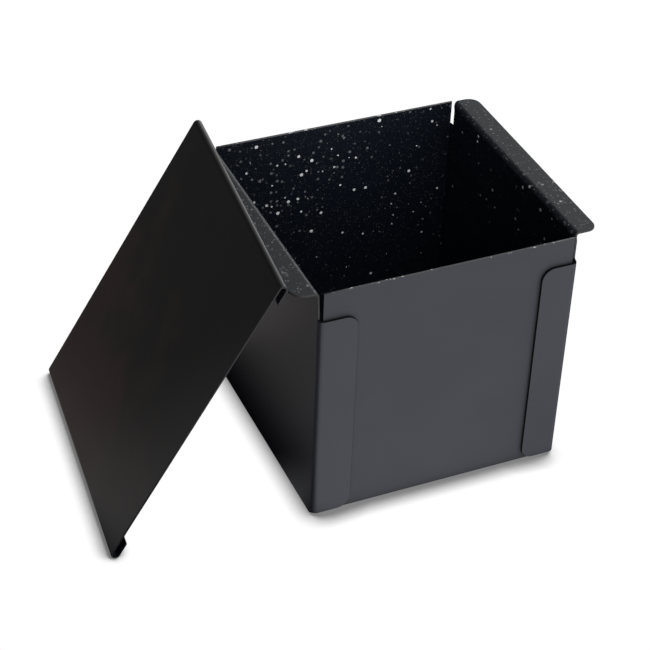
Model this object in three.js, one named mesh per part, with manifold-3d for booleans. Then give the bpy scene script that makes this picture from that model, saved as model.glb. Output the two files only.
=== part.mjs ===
// Cube croissant mould: a folded sheet-steel box with a sliding lid that leans beside it.
// Millimetres, +Z up. The origin is the middle of the base's underside, the front wall faces -Y.
import * as THREE from "three";
import { mergeVertices } from "three/addons/utils/BufferGeometryUtils.js";
import Module from "manifold-3d";

const wasm = await Module();
wasm.setup();

// Box
const cavityWidth = 98.6; // between the side walls, along X
const cavityLength = 99.5; // between the end walls, along Y
const height = 100; // top of the rails above the table
const sheet = 1; // thickness of the box's sheet
const baseFold = 0.4; // inside radius of the folds between base and end walls
const wallEndGap = 0.8; // end wall's cut edge to the side wall beside it
const seam = 0.1; // between sheets that lie against each other
const rimDrop = 0.2; // end walls stay this far below the lid's path

// Rails along the tops of the side walls
const railWidth = 8.9; // outside the side wall
const railFrontInset = 1.05; // rail's front end behind the front wall's inner face
const railBackInset = 0.1; // rail's back end before the back wall's inner face
const railBend = 1.2; // radius under the bend between wall and rail
const railCorner = 4.7; // rounded outer corners
const reliefDepth = 1.8; // slot at the rail's back end, measured along the rail
const reliefReach = 2; // slot's reach into the rail from the wall's inner face

// Tabs folded round the vertical corners
const tabWidth = 15;
const tabDrop = 10.75; // upper edge below the top of the rails
const tabFoot = 1.4; // lower edge above the table
const tabCorner = 5; // rounded inner corners
const tabBend = 1.1; // inside radius of the fold round the corner

// Lid
const lidSheet = 0.8;
const lidOverhang = 3.65; // past the tabs at each end, when it is shut
const hemPlay = 0.9; // rail's sheet to the inside of the hem, above and below together
const hemReach = 7.4; // from the lid's outer edge to the hem's cut edge
const hemClearance = 2; // rail's edge to the hem's inside, each side

// Lid's place beside the box
const lidRestDrop = 1.8; // rail's edge below the upper hem's cut edge, along the lid
const lidTurn = -5.3; // degrees about the vertical
const lidShift = -2.15; // along its own hems, from the box's middle
const lidRestGap = 0.3; // between the lid's underside and the rail it leans on

const foldSteps = 8; // straight steps in a quarter bend
const quarter = Math.PI / 2;

// Faces shared by the pieces
const wallInside = cavityWidth / 2;
const wallOutside = wallInside + sheet;
const endInside = cavityLength / 2;
const endOutside = endInside + sheet;
const tabInside = endOutside + seam;
const tabOutside = tabInside + sheet;
const tabTop = height - tabDrop;
const railOutside = wallOutside + railWidth;
const railFront = -endInside + railFrontInset;
const railBack = endInside - railBackInset;

const boxFinish = new THREE.MeshStandardMaterial({ color: 0x3c3d42, roughness: 0.5, metalness: 0.3 });
const panelFinish = new THREE.MeshStandardMaterial({ color: 0x37383d, roughness: 0.5, metalness: 0.3 });
const lidFinish = new THREE.MeshStandardMaterial({ color: 0x1c1a19, roughness: 0.55, metalness: 0.3 });

// A closed outline swept straight along one axis, from one coordinate to the other.
function sweep(outline, from, to, steps) {
  const depth = to - from;
  const swept = new THREE.ExtrudeGeometry(outline, { depth, bevelEnabled: false, curveSegments: steps });
  return swept.translate(0, 0, from);
}

// The outline's own axes become Y and Z.
function sweepAlongX(outline, from, to) {
  const y = new THREE.Vector3(0, 1, 0);
  const z = new THREE.Vector3(0, 0, 1);
  const x = new THREE.Vector3(1, 0, 0);
  return sweep(outline, from, to, foldSteps).applyMatrix4(new THREE.Matrix4().makeBasis(y, z, x));
}

// The outline's own axes become X and Z.
function sweepAlongY(outline, from, to, steps = foldSteps) {
  return sweep(outline, -to, -from, steps).rotateX(quarter);
}

// The outline's own axes stay X and Y.
function sweepAlongZ(outline, from, to) {
  return sweep(outline, from, to, foldSteps);
}

function toSolid(geometry) {
  const bare = geometry.clone();
  bare.deleteAttribute("normal");
  bare.deleteAttribute("uv");
  const merged = mergeVertices(bare);
  const vertProperties = merged.attributes.position.array;
  const triVerts = new Uint32Array(merged.index.array);
  return new wasm.Manifold(new wasm.Mesh({ numProp: 3, vertProperties, triVerts }));
}

function toGeometry(solid) {
  const { vertProperties, triVerts } = solid.getMesh();
  const geometry = new THREE.BufferGeometry();
  geometry.setAttribute("position", new THREE.BufferAttribute(vertProperties, 3));
  geometry.setIndex(new THREE.BufferAttribute(triVerts, 1));
  geometry.computeVertexNormals();
  return geometry;
}

function named(name, geometry, material) {
  const mesh = new THREE.Mesh(geometry, material);
  mesh.name = name;
  return mesh;
}

// Front wall, base and back wall, bent from one strip. The base is wider than the walls.
function endWallStrip() {
  const outerFold = baseFold + sheet;
  const foldY = endOutside - outerFold;
  const rim = height - rimDrop;
  const bend = new THREE.Shape();
  bend.moveTo(-endOutside, rim);
  bend.lineTo(-endOutside, outerFold);
  bend.absarc(-foldY, outerFold, outerFold, 2 * quarter, 3 * quarter, false);
  bend.lineTo(foldY, 0);
  bend.absarc(foldY, outerFold, outerFold, -quarter, 0, false);
  bend.lineTo(endOutside, rim);
  bend.lineTo(endInside, rim);
  bend.lineTo(endInside, outerFold);
  bend.absarc(foldY, outerFold, baseFold, 0, -quarter, true);
  bend.lineTo(-foldY, sheet);
  bend.absarc(-foldY, outerFold, baseFold, 3 * quarter, 2 * quarter, true);
  bend.lineTo(-endInside, rim);
  const wallEnd = wallInside - wallEndGap;
  const strip = toSolid(sweepAlongX(bend, -wallEnd, wallEnd));

  const baseEnd = wallInside - seam;
  const base = new THREE.BoxGeometry(2 * baseEnd, 2 * foldY, sheet).translate(0, 0, sheet / 2);
  return toGeometry(strip.add(toSolid(base)));
}

// Upper part of the right-hand panel: the wall above the tabs, bent out into the rail.
function railAndWall() {
  const topBend = railBend + sheet;
  const bendX = wallInside + topBend;
  const bendZ = height - topBend;
  const wallFoot = tabTop - tabCorner;
  const section = new THREE.Shape();
  section.moveTo(wallOutside, wallFoot);
  section.lineTo(wallOutside, bendZ);
  section.absarc(bendX, bendZ, railBend, 2 * quarter, quarter, true);
  section.lineTo(railOutside, height - sheet);
  section.lineTo(railOutside, height);
  section.lineTo(bendX, height);
  section.absarc(bendX, bendZ, topBend, quarter, 2 * quarter, false);
  section.lineTo(wallInside, wallFoot);
  const swept = toSolid(sweepAlongY(section, railFront, railBack));

  const cornerX = railOutside - railCorner;
  const plan = new THREE.Shape();
  plan.moveTo(wallInside, railFront);
  plan.lineTo(cornerX, railFront);
  plan.absarc(cornerX, railFront + railCorner, railCorner, -quarter, 0, false);
  plan.lineTo(railOutside, railBack - railCorner);
  plan.absarc(cornerX, railBack - railCorner, railCorner, 0, quarter, false);
  plan.lineTo(wallInside + reliefReach, railBack);
  plan.lineTo(wallInside, railBack - reliefDepth);
  return swept.intersect(toSolid(sweepAlongZ(plan, wallFoot, height)));
}

// Lower part of the right-hand panel: the wall with a tab folded round each vertical corner.
// The wall reaches the table between the tabs.
function wallAndTabs() {
  const outerBend = tabBend + sheet;
  const bendX = wallOutside - outerBend;
  const bendY = tabOutside - outerBend;
  const tabEnd = wallOutside - tabWidth;
  const plan = new THREE.Shape();
  plan.moveTo(tabEnd, -tabOutside);
  plan.lineTo(bendX, -tabOutside);
  plan.absarc(bendX, -bendY, outerBend, -quarter, 0, false);
  plan.lineTo(wallOutside, bendY);
  plan.absarc(bendX, bendY, outerBend, 0, quarter, false);
  plan.lineTo(tabEnd, tabOutside);
  plan.lineTo(tabEnd, tabInside);
  plan.lineTo(bendX, tabInside);
  plan.absarc(bendX, bendY, tabBend, quarter, 0, true);
  plan.lineTo(wallInside, -bendY);
  plan.absarc(bendX, -bendY, tabBend, 0, -quarter, true);
  plan.lineTo(tabEnd, -tabInside);
  const folded = toSolid(sweepAlongZ(plan, tabFoot, tabTop));

  const cornerX = tabEnd + tabCorner;
  const side = new THREE.Shape();
  side.moveTo(wallOutside, tabFoot);
  side.lineTo(wallOutside, tabTop);
  side.lineTo(cornerX, tabTop);
  side.absarc(cornerX, tabTop - tabCorner, tabCorner, quarter, 2 * quarter, false);
  side.lineTo(tabEnd, tabFoot + tabCorner);
  side.absarc(cornerX, tabFoot + tabCorner, tabCorner, 2 * quarter, 3 * quarter, false);
  const trimmed = folded.intersect(toSolid(sweepAlongY(side, -tabOutside, tabOutside)));

  const footTop = tabFoot + tabCorner;
  const foot = new THREE.BoxGeometry(sheet, 2 * bendY, footTop);
  foot.translate(wallInside + sheet / 2, 0, footTop / 2);
  return trimmed.add(toSolid(foot));
}

// Lid across its hems, with the lower hem's bend centred on the origin.
const hemInner = (sheet + hemPlay) / 2;
const hemOuter = hemInner + lidSheet;
const lidEnd = tabOutside + lidOverhang;
const hemEnd = hemReach - hemOuter; // bend's centre to the hem's cut edge
const lidSpan = 2 * (railOutside + hemClearance - hemInner); // between the two bends' centres

function slidingLid() {
  const across = new THREE.Shape();
  across.moveTo(hemEnd, -hemOuter);
  across.lineTo(hemEnd, -hemInner);
  across.lineTo(0, -hemInner);
  across.absarc(0, 0, hemInner, -quarter, quarter, true);
  across.lineTo(lidSpan, hemInner);
  across.absarc(lidSpan, 0, hemInner, quarter, -quarter, true);
  across.lineTo(lidSpan - hemEnd, -hemInner);
  across.lineTo(lidSpan - hemEnd, -hemOuter);
  across.lineTo(lidSpan, -hemOuter);
  across.absarc(lidSpan, 0, hemOuter, -quarter, quarter, false);
  across.lineTo(0, hemOuter);
  across.absarc(0, 0, hemOuter, quarter, 3 * quarter, false);
  return sweepAlongY(across, -lidEnd, lidEnd, 2 * foldSteps);
}

// The lid stands on its lower hem and leans on the left rail's back corner, just below its upper hem.
function leaningLid() {
  const reach = lidSpan - hemEnd - lidRestDrop;
  const proud = hemInner - lidRestGap;
  const rise = height - hemOuter;
  const lean = Math.asin(rise / Math.hypot(reach, proud)) - Math.atan2(proud, reach);
  const turn = THREE.MathUtils.degToRad(lidTurn);
  const uphill = new THREE.Vector3(Math.cos(turn), Math.sin(turn), 0);
  const alongHem = new THREE.Vector3(-Math.sin(turn), Math.cos(turn), 0);
  const up = new THREE.Vector3(0, 0, 1);
  const faceNormal = uphill.clone().multiplyScalar(-Math.sin(lean)).addScaledVector(up, Math.cos(lean));

  const cornerCentre = new THREE.Vector3(-railOutside + railCorner, railBack - railCorner, height);
  const touch = faceNormal.dot(cornerCentre) + railCorner * Math.sin(lean);
  const hemPlane = touch + lidRestGap - hemInner;
  const toBox = (Math.cos(lean) * hemOuter - hemPlane) / Math.sin(lean);

  const turned = new THREE.Group();
  turned.position.copy(uphill).multiplyScalar(toBox).addScaledVector(alongHem, lidShift);
  turned.position.z = hemOuter;
  turned.rotation.z = turn;
  const tilted = new THREE.Group();
  tilted.rotation.y = -lean;
  tilted.add(named("sliding_lid", slidingLid(), lidFinish));
  turned.add(tilted);
  return turned;
}

const panel = toGeometry(wallAndTabs().add(railAndWall()));
const leftPanel = named("left_side_panel", panel, panelFinish);
leftPanel.scale.x = -1;

const mould = new THREE.Group();
mould.add(named("end_wall_strip", endWallStrip(), boxFinish));
mould.add(leftPanel);
mould.add(named("right_side_panel", panel, panelFinish.clone()));
mould.add(leaningLid());

export default mould;
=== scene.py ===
# Cube croissant mould: a box folded from coated sheet steel, with its sliding lid leaning beside it.
# Metres, in the CAD model's frame: +Z up, front wall towards -Y, origin under the middle of the base.
from math import asin, atan2, ceil, cos, hypot, pi, radians, sin

import bmesh
import bpy
from mathutils import Matrix, Vector, noise


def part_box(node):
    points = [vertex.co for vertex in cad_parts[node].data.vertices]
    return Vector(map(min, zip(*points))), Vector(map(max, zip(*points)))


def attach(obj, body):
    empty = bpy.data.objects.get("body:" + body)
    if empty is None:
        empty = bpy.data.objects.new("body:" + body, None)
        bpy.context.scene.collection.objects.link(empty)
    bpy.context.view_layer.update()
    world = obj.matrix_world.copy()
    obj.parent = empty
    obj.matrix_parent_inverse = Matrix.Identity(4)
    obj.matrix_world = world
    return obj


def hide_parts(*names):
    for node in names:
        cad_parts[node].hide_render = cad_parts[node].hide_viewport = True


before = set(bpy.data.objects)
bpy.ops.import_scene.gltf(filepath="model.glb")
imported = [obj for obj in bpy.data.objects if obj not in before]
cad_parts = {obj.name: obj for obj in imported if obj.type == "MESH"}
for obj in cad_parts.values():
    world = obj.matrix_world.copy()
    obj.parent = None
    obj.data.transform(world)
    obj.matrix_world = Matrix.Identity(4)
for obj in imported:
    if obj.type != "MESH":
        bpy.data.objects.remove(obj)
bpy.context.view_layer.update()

MM = 0.001
QUARTER = pi / 2

# Faces taken from the solids
strip_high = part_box("end_wall_strip")[1]
panel_low, panel_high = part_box("right_side_panel")
height = panel_high[2]
rim = strip_high[2]
base_end = strip_high[0]
end_outside = strip_high[1]
tab_end = panel_low[0]
tab_outside = panel_high[1]
rail_outside = panel_high[0]

# Sheet and folds
sheet = 1.0 * MM
seam = 0.1 * MM
front_end_gap = 0.8 * MM
back_end_gap = 0.05 * MM
base_fold = 0.4 * MM
edge_round = 0.3 * MM

# Rails and tabs
rail_bend = 1.2 * MM
rail_corner = 4.7 * MM
rail_back_inset = 0.1 * MM
relief_depth = 1.75 * MM
relief_foot = 1 * MM
tab_stand_off = 0.2 * MM
tab_bend = 1.1 * MM
tab_corner = 5 * MM
tab_foot = 1.4 * MM
notch_round = 0.9 * MM
foot_round = 1.6 * MM

# How the two panels differ. The insets are at the front, from the inside of the front wall.
left_shape = {
    "wall_inset": -0.45 * MM,
    "wall_top_inset": 0.25 * MM,
    "rail_inset": 0.4 * MM,
    "front_corner": 6.0 * MM,
    "tab_drop": 11.0 * MM,
    "tab_cut": 0.0 * MM,
}
right_shape = {
    "wall_inset": 0.4 * MM,
    "wall_top_inset": 0.4 * MM,
    "rail_inset": 1.72 * MM,
    "front_corner": 3.7 * MM,
    "tab_drop": 10.5 * MM,
    "tab_cut": 0.7 * MM,
}

# Lid
lid_sheet = 0.8 * MM
lid_overhang = 3.65 * MM
lid_corner = 0.6 * MM
hem_play = 0.9 * MM
hem_reach = 7.4 * MM
hem_clearance = 2 * MM
lit_hem_share = 0.4
lid_rest_drop = 1.8 * MM
lid_rest_gap = 0.3 * MM
lid_turn = radians(-5.3)
lid_shift = -2.15 * MM
lid_wave = 0.1 * MM
lid_wave_size = 38 * MM
lid_wave_seed = 0.3

# Fineness of the meshes
edge_steps = 3
curve_steps = 8
lid_corner_steps = 4
bend_steps = 14
cut_pitch = 12 * MM
lid_cut_pitch = 6 * MM
cut_tolerance = 0.0001 * MM
weld = 0.005 * MM

# Faces shared by the pieces
wall_inside = base_end + seam
wall_outside = wall_inside + sheet
end_inside = end_outside - sheet
rail_back = end_inside - rail_back_inset

# Bends: the radius at mid-sheet, the sheet that the turn takes up, and where it starts on the blank
rail_middle = rail_bend + sheet / 2
rail_turn = rail_middle * QUARTER
rail_start = height - rail_bend - sheet
tab_middle = tab_bend + sheet / 2
tab_turn = tab_middle * QUARTER
tab_start = tab_outside + tab_stand_off - tab_bend - sheet

# Hems, measured from the middle of their gap, and the lid between them
hem_inner = (sheet + hem_play) / 2
hem_middle = hem_inner + lid_sheet / 2
hem_outer = hem_inner + lid_sheet
hem_turn = hem_middle * pi
hem_end = hem_reach - hem_outer
lid_span = 2 * (rail_outside + hem_clearance - hem_inner)
lid_end = tab_outside + lid_overhang


# Flat blanks

def stops(start, length, count):
    """Evenly spaced places over a length, both ends included."""
    return [start + length * i / count for i in range(count + 1)]


def spread(low, high, pitch):
    """Evenly spaced places between low and high, no further apart than pitch. Both ends are left out."""
    count = max(1, ceil((high - low) / pitch))
    return stops(low, high - low, count)[1:-1]


def arc(centre_p, centre_q, radius, start, end, steps=curve_steps):
    """Points of an arc in a blank's plane, both ends included. Angles are in quarter turns."""
    points = []
    for quarters in stops(start, end - start, steps):
        angle = quarters * QUARTER
        points.append((centre_p + radius * cos(angle), centre_q + radius * sin(angle)))
    return points


def s_curve(even, swept):
    """Pairs that run evenly over the first range, and in a smooth S over the second."""
    points = []
    for place, angle in zip(stops(even[0], even[1] - even[0], curve_steps), stops(0, pi, curve_steps)):
        share = (1 - cos(angle)) / 2
        points.append((place, swept[0] + (swept[1] - swept[0]) * share))
    return points


def slab(outline, thickness):
    """A flat plate with rounded cut edges. Its outline runs counter-clockwise."""
    corners = [Vector(point) for point in outline]
    inwards = []
    for before, here, after in zip(corners[-1:] + corners[:-1], corners, corners[1:] + corners[:1]):
        first = (here - before).normalized()
        second = (after - here).normalized()
        side = Vector((-first.y - second.y, first.x + second.x))
        inwards.append(side / (1 + first.dot(second)))
    bm = bmesh.new()

    def ring(inset, out):
        return [bm.verts.new((*(here + inset * aside), out)) for here, aside in zip(corners, inwards)]

    rounding = []
    for angle in stops(0, QUARTER, edge_steps):
        rounding.append((edge_round * (1 - sin(angle)), thickness / 2 - edge_round * (1 - cos(angle))))
    rings = [ring(inset, out) for inset, out in rounding]
    rings += [ring(inset, -out) for inset, out in reversed(rounding)]
    bm.faces.new(rings[0])
    bm.faces.new(list(reversed(rings[-1])))
    for upper, lower in zip(rings, rings[1:]):
        for i, corner in enumerate(upper):
            bm.faces.new((upper[i - 1], lower[i - 1], lower[i], corner))
    return bm


def cut_across(bm, axis, places):
    """Cuts every face of the plate along straight lines, so that it can bend there."""
    for place in places:
        everything = bm.verts[:] + bm.edges[:] + bm.faces[:]
        bmesh.ops.bisect_plane(
            bm, geom=everything, dist=cut_tolerance, plane_co=axis * place, plane_no=axis)


def add_object(name, data):
    thing = bpy.data.objects.new(name, data)
    bpy.context.scene.collection.objects.link(thing)
    return thing


# Material slots. The dark cut edge slot holds painted shade.
OUTSIDE, INSIDE, PAINTED_SHADE_EDGE, LIT_EDGE = 0, 1, 2, 3
FACING = 0.9


def folded_sheet(name, outline, thickness, p_cuts, q_cuts, fold, lit, materials):
    """A sheet piece: its blank is cut out, scored and folded.

    It has a material for each side and two for its cut edges. An edge is near-black, painted shade,
    or light where lit(centre, normal) says so. Both are in the blank's p, q and out."""
    bm = slab(outline, thickness)
    cut_across(bm, Vector((1, 0, 0)), p_cuts)
    cut_across(bm, Vector((0, 1, 0)), q_cuts)
    bmesh.ops.remove_doubles(bm, verts=bm.verts[:], dist=weld)
    bm.normal_update()
    for face in bm.faces:
        face.smooth = True
        if face.normal.z > FACING:
            face.material_index = OUTSIDE
        elif face.normal.z < -FACING:
            face.material_index = INSIDE
        elif lit(face.calc_center_median(), face.normal):
            face.material_index = LIT_EDGE
        else:
            face.material_index = PAINTED_SHADE_EDGE
    for vert in bm.verts:
        vert.co = fold(*vert.co)
    if bm.calc_volume(signed=True) < 0:
        bmesh.ops.reverse_faces(bm, faces=bm.faces[:])
    mesh = bpy.data.meshes.new(name)
    bm.to_mesh(mesh)
    bm.free()
    for material in materials:
        mesh.materials.append(material)
    piece = add_object(name, mesh)
    weighted = piece.modifiers.new("flat faces stay flat", "WEIGHTED_NORMAL")
    weighted.keep_sharp = True
    return piece


# Materials

class Nodes:
    """A short way to write a material's or the world's nodes."""

    def __init__(self, owner):
        owner.use_nodes = True
        self.tree = owner.node_tree
        self.tree.nodes.clear()

    def add(self, kind, inputs=None, **settings):
        node = self.tree.nodes.new(kind)
        for key, value in settings.items():
            setattr(node, key, value)
        for key, value in (inputs or {}).items():
            self.set(node.inputs[key], value)
        return node

    def set(self, socket, value):
        if isinstance(value, bpy.types.NodeSocket):
            self.tree.links.new(value, socket)
        else:
            socket.default_value = value

    def place(self):
        return self.add("ShaderNodeTexCoord").outputs["Object"]

    def xyz(self, vector):
        return self.add("ShaderNodeSeparateXYZ", {"Vector": vector}).outputs

    def dot(self, vector, direction):
        both = {0: vector, 1: direction}
        return self.add("ShaderNodeVectorMath", both, operation="DOT_PRODUCT").outputs["Value"]

    def math(self, operation, *values, clamp=False):
        inputs = dict(enumerate(values))
        return self.add("ShaderNodeMath", inputs, operation=operation, use_clamp=clamp).outputs[0]

    def times(self, first, second):
        return self.math("MULTIPLY", first, second)

    def line(self, value, slope, offset):
        """The value times slope, plus offset."""
        return self.math("MULTIPLY_ADD", value, slope, offset)

    def larger(self, first, second):
        return self.math("MAXIMUM", first, second)

    def grain(self, place, size, detail=2.0):
        """Noise between 0 and 1 with features of that size."""
        settings = {"Vector": place, "Scale": 1 / size, "Detail": detail}
        return self.add("ShaderNodeTexNoise", settings).outputs["Fac"]

    def remap(self, value, low, high, to_low=0.0, to_high=1.0):
        """A smooth step from to_low, where the value is low, to to_high, where it is high."""
        settings = {"From Min": low, "From Max": high, "To Min": to_low, "To Max": to_high}
        node = self.add("ShaderNodeMapRange", settings, interpolation_type="SMOOTHSTEP")
        self.set(node.inputs["Value"], value)
        return node.outputs["Result"]

    def mix(self, factor, first, second):
        mixer = self.add("ShaderNodeMix", data_type="RGBA")
        self.set(mixer.inputs["Factor"], factor)
        self.set(mixer.inputs[6], first)
        self.set(mixer.inputs[7], second)
        return mixer.outputs[2]

    def bump(self, relief, depth, under=None):
        node = self.add("ShaderNodeBump", {"Height": relief, "Distance": depth})
        if under is not None:
            self.set(node.inputs["Normal"], under)
        return node.outputs["Normal"]

    def surface(self, **inputs):
        """The principled shader and the output. An input's name has _ for each space."""
        shader = self.add("ShaderNodeBsdfPrincipled")
        for key, value in inputs.items():
            self.set(shader.inputs[key.replace("_", " ")], value)
        self.add("ShaderNodeOutputMaterial", {"Surface": shader.outputs["BSDF"]})

    def output_for_camera(self, kind, shown, other):
        """An output where the camera sees one shader, and all other rays meet the other."""
        seen = self.add("ShaderNodeLightPath").outputs["Is Camera Ray"]
        choice = self.add("ShaderNodeMixShader", {0: seen, 1: other.outputs[0], 2: shown.outputs[0]})
        self.add(kind, {"Surface": choice.outputs[0]})


def rgb(red, green, blue):
    return (red, green, blue, 1.0)


def satin_coating(name, dark, light, gloss, smoothest, roughest):
    """Smooth dark coating on the outside: even, with a fine orange peel and faint cloudiness."""
    material = bpy.data.materials.new(name)
    nodes = Nodes(material)
    place = nodes.place()
    cloud = nodes.grain(place, size=22 * MM)
    fine = nodes.grain(place, size=0.35 * MM, detail=1.0)
    colour = nodes.mix(nodes.remap(cloud, 0.3, 0.7), dark, light)
    roughness = nodes.remap(fine, 0.2, 0.8, smoothest, roughest)
    peel = nodes.bump(nodes.grain(place, size=0.8 * MM, detail=1.0), depth=0.004 * MM)
    nodes.surface(Base_Color=colour, Roughness=roughness, Specular_IOR_Level=gloss, Normal=peel)
    return material


def specks(nodes, place, spacing, smallest, largest, seed, thinned=0.0):
    """Round specks scattered through space. Gives how much of each point is speck.

    Their radii lie between smallest and largest, less thinned. The pattern is moved aside by seed."""
    soft_edge = 0.12 * MM
    faintest = 0.12
    both = {0: place, 1: (seed, seed, seed)}
    moved = nodes.add("ShaderNodeVectorMath", both, operation="ADD").outputs[0]
    cells = nodes.add("ShaderNodeTexVoronoi", {"Vector": moved, "Scale": 1 / spacing})
    size, tone, _ = nodes.add("ShaderNodeSeparateColor", {"Color": cells.outputs["Color"]}).outputs
    radius = nodes.line(size, (largest - smallest) / spacing, smallest / spacing)
    distance = nodes.line(thinned, 1 / spacing, cells.outputs["Distance"])
    depth = nodes.math("SUBTRACT", radius, distance)
    mask = nodes.math("DIVIDE", depth, soft_edge / spacing, clamp=True)
    return nodes.times(mask, nodes.remap(tone, 0.1, 1.0, faintest, 1.0))


def speckled_coating(name):
    """Near-black non-stick coating with white specks of many sizes, fewer towards the low back right.

    On the rails the large specks are duller and the small ones lighter."""
    low_back_right = (0.6, 0.35, -0.72)
    rail_zone = (height - 2.5 * MM, height - 0.5 * MM)
    middle_tone = 0.26
    large_tone_on_rail = 0.5
    dust_tone = 0.06
    dust_tone_on_rail = 0.2
    material = bpy.data.materials.new(name)
    nodes = Nodes(material)
    place = nodes.place()
    thinned = nodes.remap(nodes.dot(place, low_back_right), -50 * MM, -10 * MM, 0.0, 0.25 * MM)
    on_rail = nodes.remap(nodes.xyz(place)["Z"], *rail_zone)
    big = specks(nodes, place, 4.6 * MM, 0.3 * MM, 0.92 * MM, seed=13.7 * MM, thinned=thinned)
    middle = specks(nodes, place, 2.5 * MM, 0.25 * MM, 0.75 * MM, seed=29 * MM, thinned=thinned)
    dust = specks(nodes, place, 1.1 * MM, 0.15 * MM, 0.42 * MM, seed=41 * MM)
    large = nodes.larger(big, nodes.times(middle, middle_tone))
    large = nodes.times(large, nodes.line(on_rail, large_tone_on_rail - 1.0, 1.0))
    dust = nodes.times(dust, nodes.line(on_rail, dust_tone_on_rail - dust_tone, dust_tone))
    speck = nodes.larger(large, dust)
    cloud = nodes.grain(place, size=14 * MM)
    ground = nodes.mix(cloud, rgb(0.0022, 0.0042, 0.0088), rgb(0.004, 0.0064, 0.0122))
    colour = nodes.mix(speck, ground, rgb(0.90, 0.91, 0.93))
    roughness = nodes.remap(nodes.grain(place, size=0.5 * MM), 0.25, 0.75, 0.34, 0.5)
    peel = nodes.bump(nodes.grain(place, size=0.6 * MM), depth=0.018 * MM)
    relief = nodes.bump(speck, depth=0.02 * MM, under=peel)
    nodes.surface(Base_Color=colour, Roughness=roughness, Specular_IOR_Level=0.4, Normal=relief)
    return material


def cut_edge(name, coated, worn, wear, gloss):
    """Cut edge of the sheet: thinly coated, worn through to lighter metal in small chips."""
    material = bpy.data.materials.new(name)
    nodes = Nodes(material)
    place = nodes.place()
    chips = nodes.remap(nodes.grain(place, size=1.6 * MM, detail=4.0), 0.72 - wear, 0.78 - wear)
    colour = nodes.mix(chips, coated, worn)
    roughness = nodes.remap(nodes.grain(place, size=0.4 * MM), 0.3, 0.7, 0.35, 0.6)
    sunk = nodes.bump(chips, depth=-0.02 * MM)
    nodes.surface(Base_Color=colour, Roughness=roughness, Specular_IOR_Level=gloss, Normal=sunk)
    return material


def lid_coating(name):
    """Smooth near-black coating with tiny dull grains, browner in soft patches towards the lid's foot.

    The browner patches are partly random tone and partly a painted reflection. It is lighter grey towards
    the foot's front corner."""
    towards_foot = (0.0, 0.35, -1.0)
    towards_front_corner = (0.0, -0.8, -0.6)
    near_black = rgb(0.005, 0.005, 0.0053)
    reflection_brown = rgb(0.030, 0.0165, 0.0135)
    corner_grey = rgb(0.055, 0.054, 0.054)
    grain_colour = rgb(0.6, 0.58, 0.55)
    grain_tone = 0.03
    material = bpy.data.materials.new(name)
    nodes = Nodes(material)
    place = nodes.place()
    cloud = nodes.grain(place, size=26 * MM, detail=3.0)
    blotch = nodes.grain(place, size=11 * MM, detail=3.0)
    # Painted reflection: browner and lighter towards the lid's foot, broken up by random patches.
    reflection_patches = nodes.line(cloud, 110 * MM, nodes.dot(place, towards_foot))
    reflection_patches = nodes.line(nodes.math("SUBTRACT", blotch, 0.5), 70 * MM, reflection_patches)
    ground = nodes.mix(nodes.remap(reflection_patches, -10 * MM, 45 * MM), near_black, reflection_brown)
    # Lighter grey towards the foot's front corner.
    worn = nodes.remap(nodes.dot(place, towards_front_corner), -28 * MM, 36 * MM)
    ground = nodes.mix(worn, ground, corner_grey)
    grain = specks(nodes, place, 1.9 * MM, 0.05 * MM, 0.2 * MM, seed=57 * MM)
    colour = nodes.mix(nodes.times(grain, grain_tone), ground, grain_colour)
    roughness = nodes.remap(cloud, 0.3, 0.7, 0.28, 0.36)
    peel = nodes.bump(nodes.grain(place, size=0.9 * MM, detail=1.0), depth=0.004 * MM)
    nodes.surface(Base_Color=colour, Roughness=roughness, Normal=peel)
    return material


# The strip

def end_wall_strip(materials):
    """The front wall, the base and the back wall. On the blank p runs to the right, and q to the back."""
    fold_outer = base_fold + sheet
    fold_middle = base_fold + sheet / 2
    fold_turn = fold_middle * QUARTER
    fold_start = end_outside - fold_outer
    front_end = wall_inside - front_end_gap
    back_end = wall_inside - back_end_gap
    top = fold_start + fold_turn + rim - fold_outer
    right_half = [(front_end, -top), (front_end, -fold_start), (base_end, -fold_start)]
    right_half += [(base_end, fold_start), (back_end, fold_start), (back_end, top)]
    outline = right_half + [(-p, q) for p, q in reversed(right_half)]

    def fold(p, q, out):
        side = 1 if q > 0 else -1
        past = abs(q) - fold_start
        if past <= 0:
            return (p, q, sheet / 2 - out)
        angle = min(past / fold_middle, QUARTER)
        rise = max(past - fold_turn, 0)
        y = fold_start + (fold_middle + out) * sin(angle)
        return (p, side * y, fold_outer - (fold_middle + out) * cos(angle) + rise)

    def is_rim(centre, normal):
        return abs(normal.y) > abs(normal.x) and abs(centre.y) > fold_start + fold_turn

    bends = stops(fold_start, fold_turn, bend_steps)
    q_cuts = [-q for q in bends] + bends + spread(-top, top, cut_pitch)
    p_cuts = spread(-front_end, front_end, cut_pitch)
    return folded_sheet("end_wall_sheet", outline, sheet, p_cuts, q_cuts, fold, is_rim, materials)


# The side panels

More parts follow.
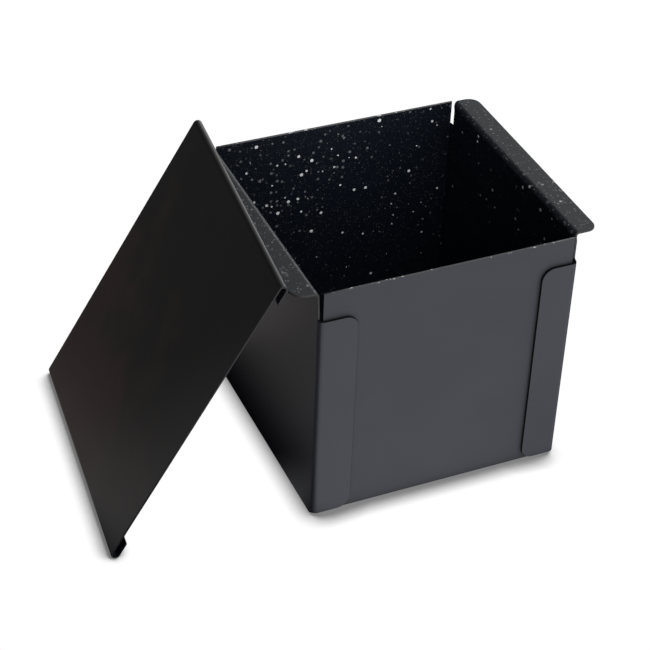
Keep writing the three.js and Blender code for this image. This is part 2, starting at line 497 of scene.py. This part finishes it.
def panel_outline(wall_inset, wall_top_inset, rail_inset, front_corner, tab_drop, tab_cut):
    """The panel's blank: p runs along the wall towards the back, q up the wall and out along the rail."""
    tab_top = height - tab_drop
    tab_tip = tab_start + tab_turn + wall_outside - tab_bend - sheet - tab_end - tab_cut
    rail_edge = rail_start + rail_turn + rail_outside - wall_inside - rail_bend - sheet

    def end(wall_end, wall_top, rail_end, corner):
        """One end of the blank on the side of +p, from its foot round the tab to the rail's corner."""
        points = s_curve((tab_start - foot_round, tab_start + foot_round), (0, tab_foot))
        points += arc(tab_tip - tab_corner, tab_foot + tab_corner, tab_corner, -1, 0)
        points += arc(tab_tip - tab_corner, tab_top - tab_corner, tab_corner, 0, 1)
        points += arc(wall_end + notch_round, tab_top + notch_round, notch_round, 3, 2)
        relief = s_curve((rail_start - relief_foot, rail_start + rail_turn), (wall_top, rail_end))
        points += [(p, q) for q, p in relief]
        return points + arc(rail_end - corner, rail_edge - corner, corner, 0, 1)

    wall_back = rail_back - relief_depth
    back = end(wall_back, wall_back, rail_back, rail_corner)
    front = end(
        end_inside - wall_inset, end_inside - wall_top_inset, end_inside - rail_inset, front_corner)
    return back + [(-p, q) for p, q in reversed(front)]


def fold_panel(p, q, out):
    """The blank's point folded into the right-hand panel. out is the distance outwards from mid-sheet."""
    if q > rail_start:
        angle = min((q - rail_start) / rail_middle, QUARTER)
        along = max(q - rail_start - rail_turn, 0)
        x = wall_inside + rail_bend + sheet - (rail_middle - out) * cos(angle) + along
        return (x, p, rail_start + (rail_middle - out) * sin(angle))
    if abs(p) > tab_start:
        side = 1 if p > 0 else -1
        angle = min((abs(p) - tab_start) / tab_middle, QUARTER)
        along = max(abs(p) - tab_start - tab_turn, 0)
        x = wall_outside - tab_bend - sheet + (tab_middle + out) * cos(angle) - along
        return (x, side * (tab_start + (tab_middle + out) * sin(angle)), q)
    return (wall_inside + sheet / 2 + out, p, q)


def fold_left_panel(p, q, out):
    x, y, z = fold_panel(p, q, out)
    return (-x, y, z)


def side_panel(name, fold, shape, materials):
    """A side wall with its rail and its two tabs."""
    tab_top = height - shape["tab_drop"]

    def above_tab(centre, _):
        return centre.y > tab_top + notch_round / 2

    bends = stops(tab_start, tab_turn, bend_steps)
    p_cuts = [-p for p in bends] + bends + spread(-tab_start, tab_start, cut_pitch)
    q_cuts = stops(rail_start, rail_turn, bend_steps) + spread(0, tab_top, cut_pitch) + [tab_top]
    outline = panel_outline(**shape)
    return folded_sheet(name, outline, sheet, p_cuts, q_cuts, fold, above_tab, materials)


# The lid

def lid_place():
    """The lid stands on its lower hem and leans on the left rail's back corner."""
    reach = lid_span - hem_end - lid_rest_drop
    proud = hem_inner - lid_rest_gap
    lean = asin((height - hem_outer) / hypot(reach, proud)) - atan2(proud, reach)
    uphill = Vector((cos(lid_turn), sin(lid_turn), 0))
    along_hem = Vector((-sin(lid_turn), cos(lid_turn), 0))
    normal = -sin(lean) * uphill + Vector((0, 0, cos(lean)))
    corner = Vector((-rail_outside + rail_corner, rail_back - rail_corner, height))
    hem_plane = normal.dot(corner) + rail_corner * sin(lean) + lid_rest_gap - hem_inner
    to_box = (cos(lean) * hem_outer - hem_plane) / sin(lean)
    position = uphill * to_box + along_hem * lid_shift + Vector((0, 0, hem_outer))
    turned = Matrix.Rotation(lid_turn, 4, "Z") @ Matrix.Rotation(-lean, 4, "Y")
    return Matrix.Translation(position) @ turned


def sliding_lid(materials):
    """The lid with its two hems.

    On the blank p runs along the hems, and q from the lower one to the upper."""
    place = lid_place()
    lip = hem_turn + hem_end
    side = lid_end - lid_corner
    low = lid_corner - lip
    high = lid_span + lip - lid_corner
    outline = []
    for quarter, centre in ((3, (side, low)), (0, (side, high)), (1, (-side, high)), (2, (-side, low))):
        outline += arc(*centre, lid_corner, quarter, quarter + 1, lid_corner_steps)

    def fold(p, q, out):
        past = max(-q, q - lid_span, 0)
        angle = min(past / hem_middle, pi)
        under = max(past - hem_turn, 0)
        flat = min(max(q, 0), lid_span)
        outwards = -1 if q < lid_span / 2 else 1
        waviness = noise.noise((p / lid_wave_size, q / lid_wave_size, lid_wave_seed))
        wave = lid_wave * sin(pi * flat / lid_span) * waviness
        x = flat + outwards * ((hem_middle + out) * sin(angle) - under)
        return place @ Vector((x, p, (hem_middle + out) * cos(angle) + wave))

    def above_lower_hem(centre, _):
        return centre.y > -lit_hem_share * hem_turn

    bends = stops(0, -hem_turn, 2 * bend_steps)
    q_cuts = bends + [lid_span - q for q in bends] + spread(0, lid_span, lid_cut_pitch)
    p_cuts = spread(-lid_end, lid_end, lid_cut_pitch)
    return folded_sheet("lid_sheet", outline, lid_sheet, p_cuts, q_cuts, fold, above_lower_hem, materials)


# Pieces

bright_metal = rgb(0.6, 0.6, 0.62)
dull_metal = rgb(0.2, 0.2, 0.21)
worn_edge = cut_edge("worn_cut_edge", rgb(0.06, 0.06, 0.065), bright_metal, wear=0.12, gloss=0.5)
# Painted shade: the near-black cut edge stands in for the shadow in the gaps by the tabs and the lid's
# lower hem.
painted_shade_edge = cut_edge("painted_shade_cut_edge", rgb(0.009, 0.009, 0.011), dull_metal, wear=0.0, gloss=0.0)
coated_edge = cut_edge("coated_cut_edge", rgb(0.045, 0.043, 0.044), dull_metal, wear=0.0, gloss=0.4)
lid_edge = cut_edge("lid_cut_edge", rgb(0.022, 0.021, 0.025), dull_metal, wear=0.0, gloss=0.4)
inside_coating = speckled_coating("speckled_non_stick")
end_coating = satin_coating(
    "end_wall_satin", rgb(0.063, 0.064, 0.075), rgb(0.067, 0.068, 0.079),
    gloss=0.2, smoothest=0.45, roughest=0.55)
side_coating = satin_coating(
    "side_panel_satin", rgb(0.037, 0.038, 0.050), rgb(0.040, 0.041, 0.053),
    gloss=0.5, smoothest=0.34, roughest=0.42)
lid_outside = lid_coating("lid_smooth_non_stick")
panel_materials = (side_coating, inside_coating, painted_shade_edge, coated_edge)

strip = end_wall_strip((end_coating, inside_coating, painted_shade_edge, worn_edge))
left = side_panel("left_panel_sheet", fold_left_panel, left_shape, panel_materials)
right = side_panel("right_panel_sheet", fold_panel, right_shape, panel_materials)
lid = sliding_lid((lid_outside, inside_coating, painted_shade_edge, lid_edge))

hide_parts("end_wall_strip")
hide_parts("left_side_panel")
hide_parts("right_side_panel")
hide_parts("sliding_lid")
for piece in (strip, left, right):
    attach(piece, "mould")
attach(lid, "lid")


# Floor, light and camera

def floor_shade(nodes, across):
    """The soft shadow of what stands close above.

    It is broad in front and left of the lid, and slight on the right."""
    reach = 9 * MM
    middle_lean = -0.04
    right_lean = 0.56
    added_lid_lean = 0.54
    back_lean = 0.2
    upright = 0.92
    contrast = 1.7
    level = -0.606
    added_lid_contrast = 0.77
    added_lid_level = -0.46
    darkest = 0.22
    added_lid_dark = -0.06
    brightest = 1.02
    by_lid = nodes.remap(across, -95 * MM, -115 * MM)
    lean = nodes.remap(across, 0.0, 50 * MM, middle_lean, right_lean)
    lean = nodes.line(by_lid, added_lid_lean, lean)
    axis = nodes.add("ShaderNodeCombineXYZ", {"X": lean, "Y": back_lean, "Z": upright}).outputs[0]
    openness = nodes.add("ShaderNodeAmbientOcclusion", {"Distance": reach, "Normal": axis}).outputs["AO"]
    added = nodes.times(by_lid, nodes.line(openness, added_lid_contrast, added_lid_level))
    shade = nodes.math("ADD", nodes.line(openness, contrast, level), added)
    shade = nodes.larger(shade, nodes.line(by_lid, added_lid_dark, darkest))
    return nodes.math("MINIMUM", shade, brightest)


def floor_glow(nodes, place):
    """How strongly each part of the floor lights the object: most in front, and less elsewhere."""
    front_strength = 0.86
    near_right_loss = 0.25
    far_left_strength = 0.105
    near_left_strength = 0.26
    off_wall_strength = 0.238
    behind_lid_gain = 1.05
    open_front_strength = 0.16
    back_strength = 0.45
    back_left = (-0.5, 0.85, 0.0)
    across, along, _ = nodes.xyz(place)

    right_of_diagonal = nodes.remap(nodes.math("SUBTRACT", across, along), -5 * MM, 15 * MM)
    near_right = nodes.times(nodes.remap(across, 0.0, 60 * MM), nodes.remap(along, -120 * MM, -70 * MM))
    front_glow = nodes.remap(along, -50 * MM, -56 * MM, 0.0, front_strength)
    front_glow = nodes.times(front_glow, right_of_diagonal)
    front_glow = nodes.times(front_glow, nodes.line(near_right, -near_right_loss, 1.0))

    left_of_lid = nodes.remap(across, -110 * MM, -122 * MM)
    left_of_lid = nodes.times(left_of_lid, nodes.remap(along, -40 * MM, 0.0))
    to_back_left = nodes.dot(place, back_left)
    left_glow = nodes.remap(to_back_left, 240 * MM, 50 * MM, far_left_strength, near_left_strength)
    left_glow = nodes.times(left_of_lid, left_glow)

    past_diagonal = nodes.remap(nodes.line(along, 0.57, across), -57 * MM, -49 * MM)
    behind_lid = nodes.times(past_diagonal, nodes.remap(along, 40 * MM, 75 * MM))
    off_wall = nodes.remap(across, -56 * MM, -85 * MM, 0.0, off_wall_strength)
    off_wall = nodes.times(off_wall, nodes.line(behind_lid, behind_lid_gain, 1.0))
    open_front = nodes.remap(along, -12 * MM, -39 * MM, 0.0, open_front_strength)
    off_corner = nodes.remap(nodes.line(across, 0.8, along), -94 * MM, -78 * MM)
    right_of_foot = nodes.times(nodes.remap(across, -122 * MM, -110 * MM), off_corner)
    lid_glow = nodes.times(right_of_foot, nodes.larger(off_wall, open_front))

    back_glow = nodes.remap(along, 53 * MM, 62 * MM, 0.0, back_strength)
    back_glow = nodes.times(back_glow, nodes.remap(across, -80 * MM, -30 * MM))

    glow = left_glow
    for other in (lid_glow, front_glow, back_glow):
        glow = nodes.larger(glow, other)
    return glow


def studio_floor():
    """A floor that the camera sees white, with a soft shadow round the object.

    To all other rays it has a weaker, uneven glow: the light that it throws back at the object."""
    half_width = 4.0
    warm = rgb(1.0, 0.94, 0.92)
    cool = rgb(0.96, 0.98, 1.0)
    material = bpy.data.materials.new("white_floor")
    nodes = Nodes(material)
    place = nodes.place()
    across, along, _ = nodes.xyz(place)
    white = nodes.add("ShaderNodeEmission", {"Strength": floor_shade(nodes, across)})
    tint = nodes.mix(nodes.remap(along, 30 * MM, -45 * MM), warm, cool)
    glow = nodes.add("ShaderNodeEmission", {"Color": tint, "Strength": floor_glow(nodes, place)})
    nodes.output_for_camera("ShaderNodeOutputMaterial", shown=white, other=glow)
    mesh = bpy.data.meshes.new("floor")
    sides = ((-1, -1), (1, -1), (1, 1), (-1, 1))
    mesh.from_pydata([(x * half_width, y * half_width, 0) for x, y in sides], [], [(0, 1, 2, 3)])
    mesh.materials.append(material)
    floor = add_object("floor", mesh)


def studio_light():
    """Broad soft light from the front right, dim at the back left, and a window low behind on the right.

    The camera sees plain white."""
    world = bpy.data.worlds.new("studio")
    bpy.context.scene.world = world
    nodes = Nodes(world)
    direction = nodes.add("ShaderNodeTexCoord").outputs["Generated"]
    key = Vector((0.80, -0.48, 0.36)).normalized()
    window = Vector((0.69, 0.72, 0.06)).normalized()
    dimmest = 0.09
    broad = nodes.remap(nodes.dot(direction, key), -0.3, 0.45, dimmest, 1.0)
    strength = nodes.math("ADD", broad, nodes.remap(nodes.dot(direction, window), 0.92, 0.98))
    soft = nodes.add("ShaderNodeBackground", {"Color": rgb(1.0, 1.0, 1.0), "Strength": strength})
    plain = nodes.add("ShaderNodeBackground", {"Color": rgb(1.0, 1.0, 1.0), "Strength": 1.0})
    nodes.output_for_camera("ShaderNodeOutputWorld", shown=plain, other=soft)
    bpy.context.scene.view_settings.view_transform = "Standard"


def inside_light():
    """A small soft spot over the opening, aimed at the back wall, so that the specks there show."""
    position = Vector((15 * MM, -40 * MM, height + 35 * MM))
    target = Vector((-4 * MM, end_inside, height - 12 * MM))
    data = bpy.data.lights.new("inside_spot", "SPOT")
    data.energy = 0.15
    data.spot_size = radians(88)
    data.spot_blend = 1.0
    data.shadow_soft_size = 20 * MM
    lamp = add_object("inside_spot", data)
    aim = (target - position).to_track_quat("-Z", "Y").to_matrix().to_4x4()
    lamp.matrix_world = Matrix.Translation(position) @ aim


def photo_camera():
    """A long lens, looking down from the front left.

    The box stands right of and above the view's middle."""
    azimuth = radians(-24.595)
    elevation = radians(36.9)
    roll = radians(2.331)
    distance = 741.08 * MM
    box_right_of_middle = 22.59 * MM
    box_above_middle = 9.17 * MM
    back = Vector((sin(azimuth) * cos(elevation), -cos(azimuth) * cos(elevation), sin(elevation)))
    across = Vector((0, 0, 1)).cross(back).normalized()
    up = back.cross(across)
    right_axis = cos(roll) * across + sin(roll) * up
    up_axis = cos(roll) * up - sin(roll) * across
    middle = Vector((0, 0, height / 2))
    position = middle - right_axis * box_right_of_middle - up_axis * box_above_middle + back * distance
    data = bpy.data.cameras.new("camera")
    data.sensor_width = 36
    data.lens = 108.07
    data.clip_start = 10 * MM
    camera = add_object("camera", data)
    turned = Matrix((right_axis, up_axis, back)).transposed().to_4x4()
    camera.matrix_world = Matrix.Translation(position) @ turned
    bpy.context.scene.camera = camera


studio_floor()
studio_light()
inside_light()
photo_camera()
